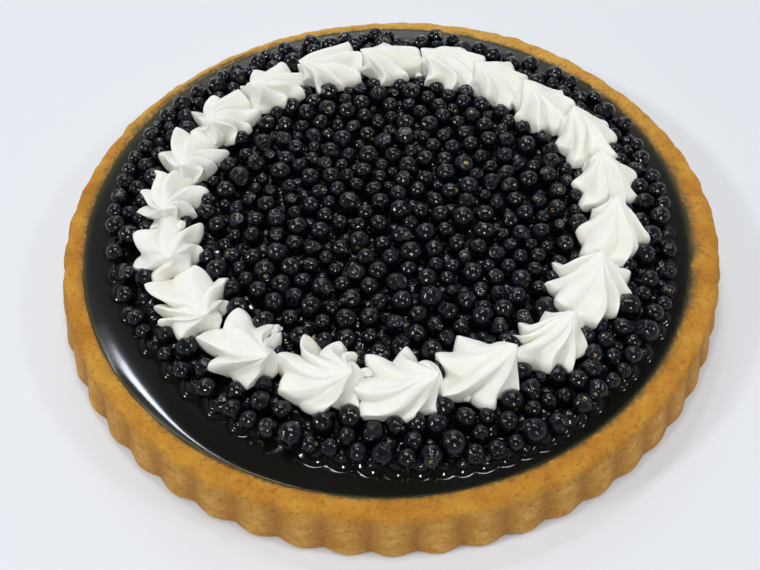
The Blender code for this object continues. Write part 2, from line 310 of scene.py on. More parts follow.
sponge, shader = new_material("baked_sponge")
place = add_node(sponge, "ShaderNodeTexCoord", {}, {}).outputs["Object"]
rim_share = add_node(sponge, "ShaderNodeAttribute", {"attribute_name": "rim"}, {}).outputs["Fac"]
notch_shade_share = add_node(sponge, "ShaderNodeAttribute", {"attribute_name": "notch"}, {}).outputs["Fac"]
stain_share = add_node(sponge, "ShaderNodeAttribute", {"attribute_name": "stain"}, {}).outputs["Fac"]
bake = add_node(
    sponge, "ShaderNodeTexNoise", {}, {"Vector": place, "Scale": grain(BAKE_PATCH), "Detail": 4.0}
)
golden = add_node(
    sponge, "ShaderNodeValToRGB", {}, {"Fac": bake.outputs["Fac"]},
    ((0.32, "#B07320"), (0.50, "#C0852A"), (0.68, "#CD9736")),
)
# Painted light: the rim turns paler and yellower towards the back, as if lit from behind
back = add_node(sponge, "ShaderNodeSeparateXYZ", {}, {"Vector": place})
painted_backlight_share = add_node(
    sponge, "ShaderNodeMapRange", {},
    {"Value": back.outputs["Y"], "From Min": 0.02, "From Max": 0.14, "To Max": 0.55},
)
golden = add_node(
    sponge, "ShaderNodeMix", COLOURS,
    {0: painted_backlight_share.outputs[0], 6: golden.outputs["Color"], 7: linear("#E0B65C")},
)
wall_place = add_node(sponge, "ShaderNodeMapping", {}, {"Vector": place, "Scale": (1.0, 1.0, 1.8)})
smear = add_node(
    sponge, "ShaderNodeTexNoise", {},
    {"Vector": wall_place.outputs[0], "Scale": grain(TIN_SMEAR), "Detail": 6.0, "Roughness": 0.62},
)
tinned = add_node(
    sponge, "ShaderNodeValToRGB", {}, {"Fac": smear.outputs["Fac"]},
    ((0.30, "#B58032"), (0.50, "#C99645"), (0.70, "#D8AD60")),
)
# Painted shade: the notches of the flutes are painted a darker brown than the wall
wall = add_node(
    sponge, "ShaderNodeMix", COLOURS, {0: notch_shade_share, 6: tinned.outputs["Color"], 7: linear("#A87433")}
)
crust = add_node(
    sponge, "ShaderNodeMix", COLOURS, {0: rim_share, 6: wall.outputs[2], 7: golden.outputs[2]}
)
specks = add_node(
    sponge, "ShaderNodeTexNoise", {}, {"Vector": place, "Scale": grain(SPECK), "Detail": 3.0}
)
speck_share = add_node(
    sponge, "ShaderNodeMapRange", {},
    {"Value": specks.outputs["Fac"], "From Min": 0.54, "From Max": 0.70, "To Max": 0.6},
)
crumbs = add_node(
    sponge, "ShaderNodeTexNoise", {},
    {"Vector": place, "Scale": grain(CRUMB), "Detail": 4.0, "Roughness": 0.7},
)
crumb_share = add_node(
    sponge, "ShaderNodeMapRange", {},
    {"Value": crumbs.outputs["Fac"], "From Min": 0.50, "From Max": 0.75, "To Max": 0.5},
)
for share, over in (
    (speck_share.outputs[0], "#96561A"), (crumb_share.outputs[0], "#DDA850"), (stain_share, "#47432A"),
):
    crust = add_node(sponge, "ShaderNodeMix", COLOURS, {0: share, 6: crust.outputs[2], 7: linear(over)})
sponge.node_tree.links.new(crust.outputs[2], shader.inputs["Base Color"])
wetness = add_node(
    sponge, "ShaderNodeMapRange", {}, {"Value": stain_share, "To Min": 0.82, "To Max": 0.15}
)
sponge.node_tree.links.new(wetness.outputs[0], shader.inputs["Roughness"])
pores = add_node(
    sponge, "ShaderNodeTexNoise", {},
    {"Vector": place, "Scale": grain(PORE), "Detail": 5.0, "Roughness": 0.7},
)
relief = add_node(
    sponge, "ShaderNodeBump", {},
    {"Height": pores.outputs["Fac"], "Strength": 1.0, "Distance": PORE_DEPTH},
)
sponge.node_tree.links.new(relief.outputs[0], shader.inputs["Normal"])
shader.inputs["Specular IOR Level"].default_value = 0.3

add_piece(
    "golden_case", case_points, ring_faces(len(case_line), case_columns), sponge,
    ["sponge_case"], case_fields,
)

# Cream shells: where they stand
# Twenty stars of whipped cream, piped one after another on the berries, each pressed out and
# pulled away anticlockwise. The berries round them are placed first, so their outlines are here.

# Bearing of the shell on the ring (degrees), distance from the axis (mm), how far the peak leans
# along the ring (mm), and the petals: bearing (0 outward, 90 along the ring) and reach (mm)
SHELLS = (
    (4, 97, 13.5, ((15, 16), (62, 15), (112, 14), (170, 15), (221, 18), (275, 20), (328, 15))),
    (22, 100, 13.5, ((12, 15), (66, 15), (118, 14), (177, 15), (225, 21), (286, 18), (335, 15))),
    (37, 94, 14.5, ((10, 17), (55, 18), (110, 14), (164, 15), (221, 16), (262, 18), (325, 16))),
    (53, 93, 14.5, ((11, 20), (66, 15), (120, 14), (184, 12), (228, 16), (280, 19), (325, 16))),
    (70, 94, 15.0, ((42, 16), (96, 13), (150, 16), (202, 16), (250, 19), (299, 19), (345, 18))),
    (88, 93, 15.0, ((8, 18), (60, 15), (110, 13), (163, 14), (223, 14), (262, 19), (305, 18))),
    (107, 95, 15.0, ((12, 17), (62, 14), (106, 13), (150, 17), (191, 17), (225, 19), (272, 22), (314, 22))),
    (125, 94, 12.5, ((0, 18), (51, 16), (123, 15), (172, 14), (217, 16), (268, 20), (318, 20))),
    (145, 93, 10.5, ((13, 18), (58, 16), (104, 14), (148, 14), (197, 14), (241, 18), (283, 21), (322, 20))),
    (162, 92, 11.5, ((6, 18), (60, 16), (118, 12), (180, 11), (221, 16), (266, 20), (312, 22))),
    (178, 95, 13.5, ((18, 16), (66, 15), (108, 13), (150, 14), (205, 17), (252, 20), (293, 22), (336, 17))),
    (195, 95, 11.5, ((10, 17), (62, 16), (115, 13), (164, 14), (216, 19), (262, 20), (313, 20))),
    (214, 95, 14.5, ((0, 16), (47, 17), (96, 14), (144, 15), (190, 18), (242, 21), (295, 23), (330, 16))),
    (233, 95, 15.0, ((47, 16), (104, 14), (159, 17), (172, 17), (224, 20), (286, 19), (339, 15))),
    (253, 92, 13.5, ((19, 16), (64, 19), (108, 16), (135, 16), (165, 18), (215, 20), (260, 20), (308, 16))),
    (272, 94, 15.0, ((17, 14), (50, 16), (108, 15), (166, 19), (220, 20), (266, 18), (303, 18))),
    (291, 94, 15.0, ((37, 16), (112, 15), (186, 18), (220, 19), (280, 18), (352, 16))),
    (310, 97, 11.5, ((33, 14), (90, 14), (145, 14), (193, 15), (220, 16), (256, 17), (310, 14), (343, 15))),
    (329, 94, 11.5, ((14, 18), (48, 18), (108, 14), (168, 18), (207, 18), (250, 20), (299, 19), (332, 17))),
    (347, 97, 15.0, ((0, 16), (58, 15), (122, 14), (183, 15), (232, 18), (286, 16), (327, 14))),
)
# Each crease comes in to this share of the shorter petal beside it, give or take the range
VALLEY = 0.73
VALLEY_RANGE = 0.10
# A shell is drawn out by these shares towards the next and the last one, as they run together
JOIN_AHEAD = 0.30
JOIN_BEHIND = 0.22
JOIN_SPREAD = math.radians(33.0)
# Where each crease lies between two tips, and each tip between two creases
CREASE_PLACE = 0.42
TIP_PLACE = 0.659
# The share of a pointed petal's reach that is its fine point, and how fast that tapers
POINT_SHARE = 0.28
POINT_TAPER = 5.0
SHELL_OVERLAP = 2.6 * MM


def off_line(bearing, line):
    """Angle of bearings from a line, from -180 to 180 degrees, in radians."""
    return np.angle(np.exp(1j * (bearing - line)))


def shell_bearings(petals, columns):
    """Bearings round a shell, alike many to each petal, with the place in the petal from one
    crease to the next, the height of the petal's ridge there, and the outline's reach. The sines
    of a petal's own bearing and reach make the petals differ, the same way each run."""
    tips = np.radians([bearing for bearing, reach in petals])
    reach = np.array([distance for bearing, distance in petals]) * MM
    ahead = np.append(tips[1:], tips[0] + math.tau)
    after = tips + CREASE_PLACE * (ahead - tips)
    before = np.append(after[-1] - math.tau, after[:-1])
    share = ((np.arange(columns) + 0.5) / columns)[None, :]
    rising = before[:, None] + (tips - before)[:, None] * share / TIP_PLACE
    falling = tips[:, None] + (after - tips)[:, None] * (share - TIP_PLACE) / (1.0 - TIP_PLACE)
    bearing = np.where(share < TIP_PLACE, rising, falling)
    low = np.minimum(reach, np.roll(reach, 1))[:, None]
    high = np.minimum(reach, np.roll(reach, -1))[:, None]
    cut = VALLEY + VALLEY_RANGE * np.sin(5.7 * after)
    valley = np.where(share < TIP_PLACE, low * np.roll(cut, 1)[:, None], high * cut[:, None])
    past_tip = np.abs(share - TIP_PLACE) / np.where(share < TIP_PLACE, TIP_PLACE, 1.0 - TIP_PLACE)
    inner_side = 0.5 - 0.5 * np.cos(tips)
    blunt = 0.75 + 0.3 * np.sin(7.3 * tips + 900.0 * reach)[:, None]
    sharp = np.clip(0.35 + 0.3 * inner_side + 0.35 * np.sin(4.1 * tips + 700.0 * reach), 0.0, 0.9)[:, None]
    rounded = (0.5 + 0.5 * np.cos(math.pi * past_tip)) ** blunt
    pointed = (1.0 - POINT_SHARE) * (1.0 - past_tip ** 1.15) + POINT_SHARE * np.exp(-POINT_TAPER * past_tip)
    ridge = (1.0 - sharp) * rounded + sharp * pointed
    edge = valley + (reach[:, None] - valley) * ridge
    from_ahead = off_line(bearing, 0.5 * math.pi) / JOIN_SPREAD
    from_behind = off_line(bearing, -0.5 * math.pi) / JOIN_SPREAD
    edge = edge * (1.0 + JOIN_AHEAD * np.exp(-from_ahead ** 2) + JOIN_BEHIND * np.exp(-from_behind ** 2))
    return bearing.ravel(), (share * np.ones_like(bearing)).ravel(), ridge.ravel(), edge.ravel()


# Fruit jelly
# Dark blueberry jelly, poured warm into the case and set. It is so deeply coloured that it looks
# black, its skin is mirror smooth, and it climbs the sponge and each berry in a soft fillet.

JELLY_COLUMNS = 900
JELLY_OVERLAP = 0.9 * MM
JELLY_SHOWS = 24.0 * MM
JELLY_BOTTOM = 14.4 * MM
JELLY_BOTTOM_INSET = 3.0 * MM
JELLY_FILLET = 0.8 * MM
JELLY_FILLET_WIDTH = 0.5 * MM
JELLY_FILLET_WIDEST = 5.4 * MM
BERRY_FILLET = 1.2 * MM
BERRY_FILLET_WIDTH = 2.2 * MM

# The heap carries a film of jelly, which thins out over this far from its edge
HEAP_FILM = 1.5 * MM
FILM_EDGE = 10.0 * MM

# Small blueberries: how many, and their radius (mm), its spread, and the least and most
BERRY_COUNT = 950
BERRY_SIZES = (4.25, 0.6, 2.9, 5.5)
SEED = 3
# They start inside this radius, this clear of the cream and of the heap's edge, and rather more
# of them outside the ring, at this height above or below their own place (mm)
START_RADIUS = 127.0 * MM
START_CLEAR = 1.0 * MM
START_MARGIN = 4.0 * MM
START_BATCH = 400
RING_RADIUS = 95.0 * MM
START_INSIDE_RING = 0.75
START_LIFT = (-3.4, 1.2)
# Then they settle in turns, within a lowest and a highest lift. Those near the edge slump outward
# by this much a turn
SETTLE_TURNS = 260
LOWEST_LIFT = -3.6 * MM
HIGHEST_LIFT = 2.2 * MM
SLUMP = 0.02 * MM
SLUMP_RADIUS = 104.0 * MM
# A berry's middle stands over the film by this share of its radius, and this much more
BERRY_STAND_SHARE = 0.4
BERRY_STAND = 0.8 * MM

# The heap's outline: bearing (degrees) and distance from the axis (mm)
HEAP_OUTLINE = (
    (0, 125.0), (12, 124.0), (25, 128.0), (38, 127.5), (50, 125.0), (63, 122.0), (75, 127.0),
    (90, 125.5), (105, 126.0), (120, 127.5), (135, 126.0), (150, 127.0), (165, 125.5), (180, 124.5),
    (195, 122.5), (205, 121.5), (220, 119.0), (235, 119.5), (250, 122.0), (262, 122.5), (272, 125.0),
    (285, 127.0), (297, 128.0), (310, 126.5), (320, 127.5), (332, 127.5), (345, 125.0), (360, 125.0),
)


def heap_edge(bearing):
    """Radius of the heap's uneven outline about the cake's axis."""
    return by_bearing(HEAP_OUTLINE, bearing) * MM


def film_level(x, y):
    """Height of the jelly before it climbs anything: low round the heap, higher between berries."""
    inward = heap_edge(np.arctan2(y, x)) - np.hypot(x, y)
    share = np.clip(inward / FILM_EDGE, 0.0, 1.0)
    return JELLY_LEVEL + HEAP_FILM * share * share * (3.0 - 2.0 * share)


def clearance(x, y):
    """Signed distance in plan to the nearest shell's outline, and the way out of that shell."""
    best = np.full(x.shape, 1.0)
    out_x, out_y = np.zeros_like(x), np.zeros_like(y)
    for clock, distance, _, petals in SHELLS:
        turn = math.radians(clock)
        dx, dy = x - distance * MM * math.cos(turn), y - distance * MM * math.sin(turn)
        bearing = (np.arctan2(dy, dx) - turn) % math.tau
        around, _, _, edge = shell_bearings(petals, 12)
        order = np.argsort(around % math.tau)
        reach = np.interp(bearing, (around % math.tau)[order], edge[order], period=math.tau)
        far = np.hypot(dx, dy)
        nearer = far - reach < best
        best = np.where(nearer, far - reach, best)
        out_x, out_y = np.where(nearer, dx / far, out_x), np.where(nearer, dy / far, out_y)
    return best, out_x, out_y


# Berries start at random where no cream stands, then push one another apart until they only
# touch, as a heap shaken level does. Some ride up on their neighbours, and those at the edge roll
# out to the heap's outline.
draw = np.random.default_rng(SEED)
usual, spread, least, most = BERRY_SIZES
berry_radius = np.clip(draw.normal(usual, spread, BERRY_COUNT), least, most) * MM
berry_x, berry_y = np.zeros(0), np.zeros(0)
while len(berry_x) < BERRY_COUNT:
    far = START_RADIUS * np.sqrt(draw.random(START_BATCH))
    way = draw.random(START_BATCH) * math.tau
    x, y = far * np.cos(way), far * np.sin(way)
    free = (clearance(x, y)[0] > START_CLEAR) & (far < heap_edge(way) - START_MARGIN)
    free &= (far > RING_RADIUS) | (draw.random(START_BATCH) < START_INSIDE_RING)
    berry_x, berry_y = np.append(berry_x, x[free]), np.append(berry_y, y[free])
berry_x, berry_y = berry_x[:BERRY_COUNT], berry_y[:BERRY_COUNT]
berry_lift = draw.uniform(*START_LIFT, BERRY_COUNT) * MM
touching = berry_radius[:, None] + berry_radius[None, :]
for turn in range(SETTLE_TURNS):
    dx, dy = berry_x[:, None] - berry_x[None, :], berry_y[:, None] - berry_y[None, :]
    dz = berry_lift[:, None] - berry_lift[None, :]
    gap = np.sqrt(dx * dx + dy * dy + dz * dz) + 1e-9
    push = np.clip(touching - gap, 0.0, None) / gap * 0.25
    np.fill_diagonal(push, 0.0)
    berry_x = berry_x + (push * dx).sum(axis=1)
    berry_y = berry_y + (push * dy).sum(axis=1)
    berry_lift = np.clip(berry_lift + (push * dz).sum(axis=1), LOWEST_LIFT, HIGHEST_LIFT)
    open_way, out_x, out_y = clearance(berry_x, berry_y)
    shove = np.clip(0.55 * berry_radius - open_way, 0.0, None) * 0.9
    berry_x, berry_y = berry_x + shove * out_x, berry_y + shove * out_y
    way, far = np.arctan2(berry_y, berry_x), np.hypot(berry_x, berry_y)
    settled = np.minimum(far + SLUMP * (far > SLUMP_RADIUS), heap_edge(way) - berry_radius)
    berry_x, berry_y = settled * np.cos(way), settled * np.sin(way)
kept = clearance(berry_x, berry_y)[0] > 0.0
berry_x, berry_y = berry_x[kept], berry_y[kept]
berry_lift, berry_radius = berry_lift[kept], berry_radius[kept]
berry_z = film_level(berry_x, berry_y) + BERRY_STAND_SHARE * berry_radius + BERRY_STAND + berry_lift


def jelly_surface(x, y):
    """Height of the jelly's skin: its level, and the fillets where it climbs the berries."""
    level = film_level(x, y)
    away = np.ones_like(x)
    for bx, by, bz, radius in zip(berry_x, berry_y, berry_z, berry_radius):
        reach = radius + 5 * MM
        near = (np.abs(x - bx) < reach) & (np.abs(y - by) < reach)
        sunk = np.clip(bz - level[near], -radius, radius)
        wet = np.sqrt(np.maximum(radius ** 2 - sunk ** 2, 0.0))
        beyond = np.clip(np.hypot(x[near] - bx, y[near] - by) - wet, 0.0, None)
        away[near] *= 1.0 - np.clip(1.0 - beyond / BERRY_FILLET_WIDTH, 0.0, 1.0) ** 2
    return level + BERRY_FILLET * (1.0 - away)


# Rings of the jelly's skin, as distances in from its edge (mm): close where it shows, and none
# but a few under the heap, where the skin dips out of the way
skin_rings = np.concatenate((np.linspace(0.0, 8.0, 21), np.linspace(8.5, 24.0, 32), (40.0, 70.0, 100.0)))
inward = skin_rings * MM
bearings = np.linspace(0.0, math.tau, JELLY_COLUMNS, endpoint=False)
edge = recess_edge(bearings) + JELLY_OVERLAP
radii = edge[None, :] - inward[:, None]
x, y = (radii * np.cos(bearings)).ravel(), (radii * np.sin(bearings)).ravel()

# The fillet up the sponge is wide and smooth in front on the left, where it catches the light in
# a long band, and narrow and ragged elsewhere. How steep it is, as (bearing in degrees, share)
FILLET_STEEPNESS = (
    (0, 0.35), (90, 0.25), (180, 0.3), (205, 1.4), (235, 1.2), (260, 0.6), (360, 0.5),
)
left_front = np.exp(-((bearings - math.radians(208)) / math.radians(18)) ** 2)
ragged = 1.0 - np.exp(-((bearings - math.radians(214)) / math.radians(34)) ** 6)
fillet_width = JELLY_FILLET_WIDTH + (JELLY_FILLET_WIDEST - JELLY_FILLET_WIDTH) * left_front
round_edge = np.stack((np.cos(bearings), np.sin(bearings), 0 * bearings), axis=-1)
uneven = 1.0 + (0.25 * lumps(round_edge, 0.12, 4.4) + 0.45 * lumps(round_edge, 0.02, 5.5)) * ragged
steep = by_bearing(FILLET_STEEPNESS, bearings)
climb = JELLY_FILLET * steep * uneven * np.exp(-inward[:, None] / fillet_width)
climb = climb * (1.0 - 0.2 * left_front * np.exp(-inward[:, None] / (1.5 * MM)))
z = jelly_surface(x, y) + climb.ravel()
z[JELLY_SHOWS + np.hypot(x, y) < np.tile(edge, len(inward))] = JELLY_LEVEL - 1.0 * MM
top = np.stack((x, y, z), axis=-1)
under = edge - JELLY_BOTTOM_INSET
bottom_z = np.full(JELLY_COLUMNS, JELLY_BOTTOM)
bottom = np.stack((under * np.cos(bearings), under * np.sin(bearings), bottom_z), axis=-1)
jelly_points = np.vstack((bottom, top, (0.0, 0.0, JELLY_BOTTOM), (0.0, 0.0, JELLY_LEVEL)))

# Over the sponge the jelly thins out and shows it, most behind on the left. How wide that band
# is, as (bearing in degrees, mm)
THIN_REACH = (
    (0, 0.8), (40, 0.8), (100, 1.6), (135, 2.2), (175, 1.0), (210, 0.4), (320, 0.4), (360, 0.8),
)
THIN_START = 0.8 * MM
THIN_END = 8.0 * MM
thin_reach = by_bearing(THIN_REACH, bearings) * (1.0 + 0.4 * lumps(round_edge, 0.03, 8.8)) * MM
thin = np.exp(-np.clip(inward[:, None] - THIN_START, 0.0, None) / thin_reach)
thin = thin * (inward[:, None] < THIN_END)
jelly_fields = {"thin": np.concatenate((np.ones(JELLY_COLUMNS), thin.ravel(), (0.0, 0.0)))}

# Fruit jelly: a clear wet gel over black juice, set against the air, so all that the eye gets is
# its reflections, a little drawn out by the faint ripples of its skin. Where it is thin, the
# sponge beneath shows through as brown.
JELLY_RIPPLE = 6.0 * MM
RIPPLE_HEIGHT = 0.4 * MM

jelly, shader = new_material("dark_fruit_jelly")
thin_share = add_node(jelly, "ShaderNodeAttribute", {"attribute_name": "thin"}, {}).outputs["Fac"]
juice = add_node(
    jelly, "ShaderNodeMix", COLOURS, {0: thin_share, 6: linear("#0E0E09"), 7: linear("#3D3719")}
)
jelly.node_tree.links.new(juice.outputs[2], shader.inputs["Base Color"])
place = add_node(jelly, "ShaderNodeTexCoord", {}, {}).outputs["Object"]
ripple = add_node(
    jelly, "ShaderNodeTexNoise", {}, {"Vector": place, "Scale": grain(JELLY_RIPPLE), "Detail": 2.0}
)
relief = add_node(
    jelly, "ShaderNodeBump", {},
    {"Height": ripple.outputs["Fac"], "Strength": 0.03, "Distance": RIPPLE_HEIGHT},
)
jelly.node_tree.links.new(relief.outputs[0], shader.inputs["Normal"])
shader.inputs["Roughness"].default_value = 0.09
shader.inputs["IOR"].default_value = 1.36

add_piece(
    "set_jelly", jelly_points, ring_faces(len(inward) + 1, JELLY_COLUMNS), jelly,
    ["fruit_jelly"], jelly_fields,
)

# Berry heap
# Small blueberries stirred into the last of the jelly and spread over the set layer. The core is
# the jelly between and under them; the berries are one piece, each with its own crown.

CORE_COLUMNS = 700
CORE_SKIRT = 3.0 * MM
CORE_LIFT = 0.08 * MM
CORE_EDGE = 2.0 * MM
CORE_BOTTOM = JELLY_LEVEL - 0.6 * MM

# Rings of the core, as shares of its radius: closest at its edge, and few under the cream. It
# lies a hair over the set jelly, and dives under it at its edge.
rows = np.concatenate(
    (np.linspace(1.0, 0.87, 34), np.linspace(0.85, 0.71, 7), np.linspace(0.70, 0.004, 98))
)
bearings = np.linspace(0.0, math.tau, CORE_COLUMNS, endpoint=False)
edge = heap_edge(bearings) + CORE_SKIRT
radii = rows[:, None] * edge[None, :]
x, y = (radii * np.cos(bearings)).ravel(), (radii * np.sin(bearings)).ravel()
from_edge = (1.0 - rows)[:, None] * edge[None, :]
z = jelly_surface(x, y) + CORE_LIFT * np.clip(from_edge / CORE_EDGE - 1.0, -1.0, 1.0).ravel()
z[:CORE_COLUMNS] = CORE_BOTTOM
core_points = np.vstack((np.stack((x, y, z), axis=-1), (0.0, 0.0, CORE_BOTTOM), (0.0, 0.0, z[-1])))
add_piece(
    "heap_core", core_points, ring_faces(len(rows), CORE_COLUMNS), jelly, ["berry_heap"]
)

CROWN_LOBES = 5
BERRY_COLUMNS = 12
CROWN_EDGE = math.radians(40)
# Rings of a berry from its crown down: angle from the crown (degrees), and height on the skin as
# a share of the radius. They make a sunk scar with a raised edge of dry sepals.
BERRY_RINGS = (
    (7, -0.10), (18, -0.15), (24, -0.03), (29, 0.08), (37, 0.0), (62, 0.0), (92, 0.0), (128, 0.0),
)
# A berry's height to its width, its crown's size, and the share of berries that lie crown up
BERRY_HEIGHT = (0.84, 0.97)
CROWN_SIZE = (0.75, 1.25)
CROWN_UP = 0.5

ring_angle = np.radians([angle for angle, lift in BERRY_RINGS])[:, None]
ring_lift = np.array([lift for angle, lift in BERRY_RINGS])[:, None]
spoke = np.linspace(0.0, math.tau, BERRY_COLUMNS, endpoint=False)[None, :]
lobes = 1.0 + 0.35 * np.cos(CROWN_LOBES * spoke)
ring_scar = np.clip((17.0 - np.degrees(ring_angle)) / 10.0, 0.0, 1.0)
ring_sepal = np.clip(1.0 - np.abs(np.degrees(ring_angle) - 27.0) / 6.0, 0.0, 1.0)
scar = np.append(np.repeat(ring_scar[:, 0], BERRY_COLUMNS), (1.0, 0.0))
sepal = np.append(np.repeat(ring_sepal[:, 0], BERRY_COLUMNS), (0.0, 0.0))
one_berry = ring_faces(len(BERRY_RINGS), BERRY_COLUMNS, flip=True)
berry_points, berry_faces, scar_field, sepal_field, tint_field = [], [], [], [], []
for index, radius in enumerate(berry_radius):
    tall = draw.uniform(*BERRY_HEIGHT)
    crown_size = draw.uniform(*CROWN_SIZE)
    angle = ring_angle * np.where(ring_angle < CROWN_EDGE, crown_size, 1.0)
    shell = radius * (1.0 + ring_lift * np.where(ring_lift > 0, lobes, 1.0))
    local = np.stack(
        (shell * np.sin(angle) * np.cos(spoke), shell * np.sin(angle) * np.sin(spoke),
         tall * shell * np.cos(angle) * np.ones_like(spoke)), axis=-1,
    ).reshape(-1, 3)
    local = np.vstack((local, (0.0, 0.0, 0.90 * tall * radius), (0.0, 0.0, -tall * radius)))
    crown_up = draw.random() < CROWN_UP
    tilt = math.acos(draw.uniform(0.35, 1.0) if crown_up else draw.uniform(-0.7, 0.35))
    facing = Matrix.Rotation(draw.uniform(0, math.tau), 3, "Z") @ Matrix.Rotation(tilt, 3, "Y")
    facing = facing @ Matrix.Rotation(draw.uniform(0, math.tau), 3, "Z")
    local = local @ np.array(facing).T + (berry_x[index], berry_y[index], berry_z[index])
    start = index * len(local)
    berry_points.append(local)
    berry_faces += [tuple(start + corner for corner in face) for face in one_berry]
    scar_field.append(scar * draw.uniform(-0.6, 1.2))
    sepal_field.append(sepal * draw.uniform(0.0, 1.0))
    tint_field.append(np.full(len(local), draw.random()))

# Blueberry skin: nearly black blue and slightly waxy, so it is dull blue in patches, under a
# coat of wet glaze that gives small sharp glints. The crown is dry: a grey rim of sepals round a
# tan scar, which the eye picks out first. The real bloom and flecks are finer than 0.3 mm, and
# are drawn coarser, so that they show.
BLOOM_PATCH = 2.2 * MM
SCAR_FLECK = 0.8 * MM
GLAZE_WRINKLE = 1.3 * MM
GLAZE_HEIGHT = 0.35 * MM

skin, shader = new_material("glazed_blueberry_skin")
place = add_node(skin, "ShaderNodeTexCoord", {}, {}).outputs["Object"]
scar_share = add_node(skin, "ShaderNodeAttribute", {"attribute_name": "scar"}, {}).outputs["Fac"]
sepal_share = add_node(skin, "ShaderNodeAttribute", {"attribute_name": "sepal"}, {}).outputs["Fac"]
tint_share = add_node(skin, "ShaderNodeAttribute", {"attribute_name": "tint"}, {}).outputs["Fac"]
peel = add_node(
    skin, "ShaderNodeValToRGB", {}, {"Fac": tint_share},
    ((0.0, "#020407"), (0.5, "#04060A"), (1.0, "#080B13")),
).outputs["Color"]
bloom = add_node(
    skin, "ShaderNodeTexNoise", {}, {"Vector": place, "Scale": grain(BLOOM_PATCH), "Detail": 4.0}
)
bloom_share = add_node(
    skin, "ShaderNodeMapRange", {},
    {"Value": bloom.outputs["Fac"], "From Min": 0.52, "From Max": 0.75, "To Max": 0.3},
)
fleck = add_node(
    skin, "ShaderNodeTexNoise", {}, {"Vector": place, "Scale": grain(SCAR_FLECK), "Detail": 3.0}
)
fleck_share = add_node(
    skin, "ShaderNodeMapRange", {}, {"Value": fleck.outputs["Fac"], "From Min": 0.42, "From Max": 0.62}
)
dry_share = add_node(
    skin, "ShaderNodeMath", {"operation": "MULTIPLY"}, {0: scar_share, 1: fleck_share.outputs[0]}
)
for share, over in (
    (bloom_share.outputs[0], "#182335"), (sepal_share, "#2B303A"), (dry_share.outputs[0], "#C2A878"),
):
    links = {0: share, 6: peel, 7: linear(over)}
    peel = add_node(skin, "ShaderNodeMix", COLOURS, links).outputs[2]
skin.node_tree.links.new(peel, shader.inputs["Base Color"])
glaze = add_node(
    skin, "ShaderNodeTexNoise", {}, {"Vector": place, "Scale": grain(GLAZE_WRINKLE), "Detail": 3.0}
)
relief = add_node(
    skin, "ShaderNodeBump", {},
    {"Height": glaze.outputs["Fac"], "Strength": 0.5, "Distance": GLAZE_HEIGHT},
)
skin.node_tree.links.new(relief.outputs[0], shader.inputs["Normal"])
skin.node_tree.links.new(relief.outputs[0], shader.inputs["Coat Normal"])
shader.inputs["Roughness"].default_value = 0.42
shader.inputs["Specular IOR Level"].default_value = 0.06
shader.inputs["Coat Weight"].default_value = 1.0
shader.inputs["Coat Roughness"].default_value = 0.03
shader.inputs["Coat IOR"].default_value = 1.4

berry_fields = {
    "scar": np.concatenate(scar_field),
    "sepal": np.concatenate(sepal_field),
    "tint": np.concatenate(tint_field),
}
add_piece(
    "blueberries", np.vstack(berry_points), berry_faces, skin, [], berry_fields
)

# Cream shells: the cream itself
# Whipped cream, beaten stiff and pressed through a wide star tube. Each tooth leaves a broad
# petal that laps a little over the next, and the petals run together in a pulled peak.

SHELL_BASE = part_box("cream_shell_01")[0].z
SHELL_HEIGHT = 14.6 * MM
PEAK_NUB = 0.35 * MM
PEAK_NUB_SHARE = 0.07
PETAL_COLUMNS = 22
TOP_ROWS = 30
PETAL_LIP = 2.8 * MM
LIP_ROUNDING = 1.5 * MM
LIP_CURL = 1.2 * MM
LOBE_PUFF = 1.6 * MM
# The side that rests on the last shell stands this much higher
REAR_LIFT = 2.2 * MM
REAR_SPREAD = math.radians(50.0)
# Each petal steps down to the next one. It is highest this far along from crease to crease
STEP = 2.1 * MM
STEP_PLACE = 0.80
STEP_MIDDLE = 0.45
# The tube's fine teeth leave a low rib beside each fold, and the folds wind and sway
RIB = 0.16 * MM
TWIST = math.radians(31.0)
TWIST_RANGE = math.radians(12.0)
CREASE_SWAY = math.radians(11.0)
# Soft cream slumps a little as it stands: height (share of a mm), width (mm) and seed
SLUMPS = ((0.7, 8.0, 1.0), (0.15, 3.5, 30.0))
# Shells that were pressed out flatter, with the share of the usual folds that each keeps
FLATTER = {2: 0.6, 4: 0.7, 16: 0.45, 17: 0.5, 18: 0.75}


def squeeze(value, low, high):
    """Bring values smoothly within two limits, without changing their order."""
    limit = np.where(value > 0.0, high, -low)
    return value / (1.0 + np.abs(value / limit) ** 8) ** 0.125


def place_on_ring(index, outward, along):
    """Plan points of a shell's own outward and along-the-ring distances."""
    clock, distance = math.radians(SHELLS[index][0]), SHELLS[index][1] * MM
    behind = (SHELLS[index][0] - SHELLS[index - 1][0]) % 360
    ahead = (SHELLS[(index + 1) % len(SHELLS)][0] - SHELLS[index][0]) % 360
    radius = np.hypot(distance + outward, along)
    turn = np.arctan2(along, distance + outward)
    overlap = SHELL_OVERLAP / radius
    turn = squeeze(turn, -math.radians(0.5 * behind) - overlap, math.radians(0.5 * ahead) + overlap)
    return radius * np.cos(clock + turn), radius * np.sin(clock + turn)


# Whipped cream: soft and nearly white, with a satin skin. Light scatters inside it, so its shades
# are faint. Deep in the creases it is painted a darker, warmer cream, a painted shade. Its bubbles
# are far finer than the render shows, and are drawn 1.6 mm wide and very shallow.
FOAM_BUBBLE = 1.6 * MM
FOAM_DEPTH = 0.3 * MM

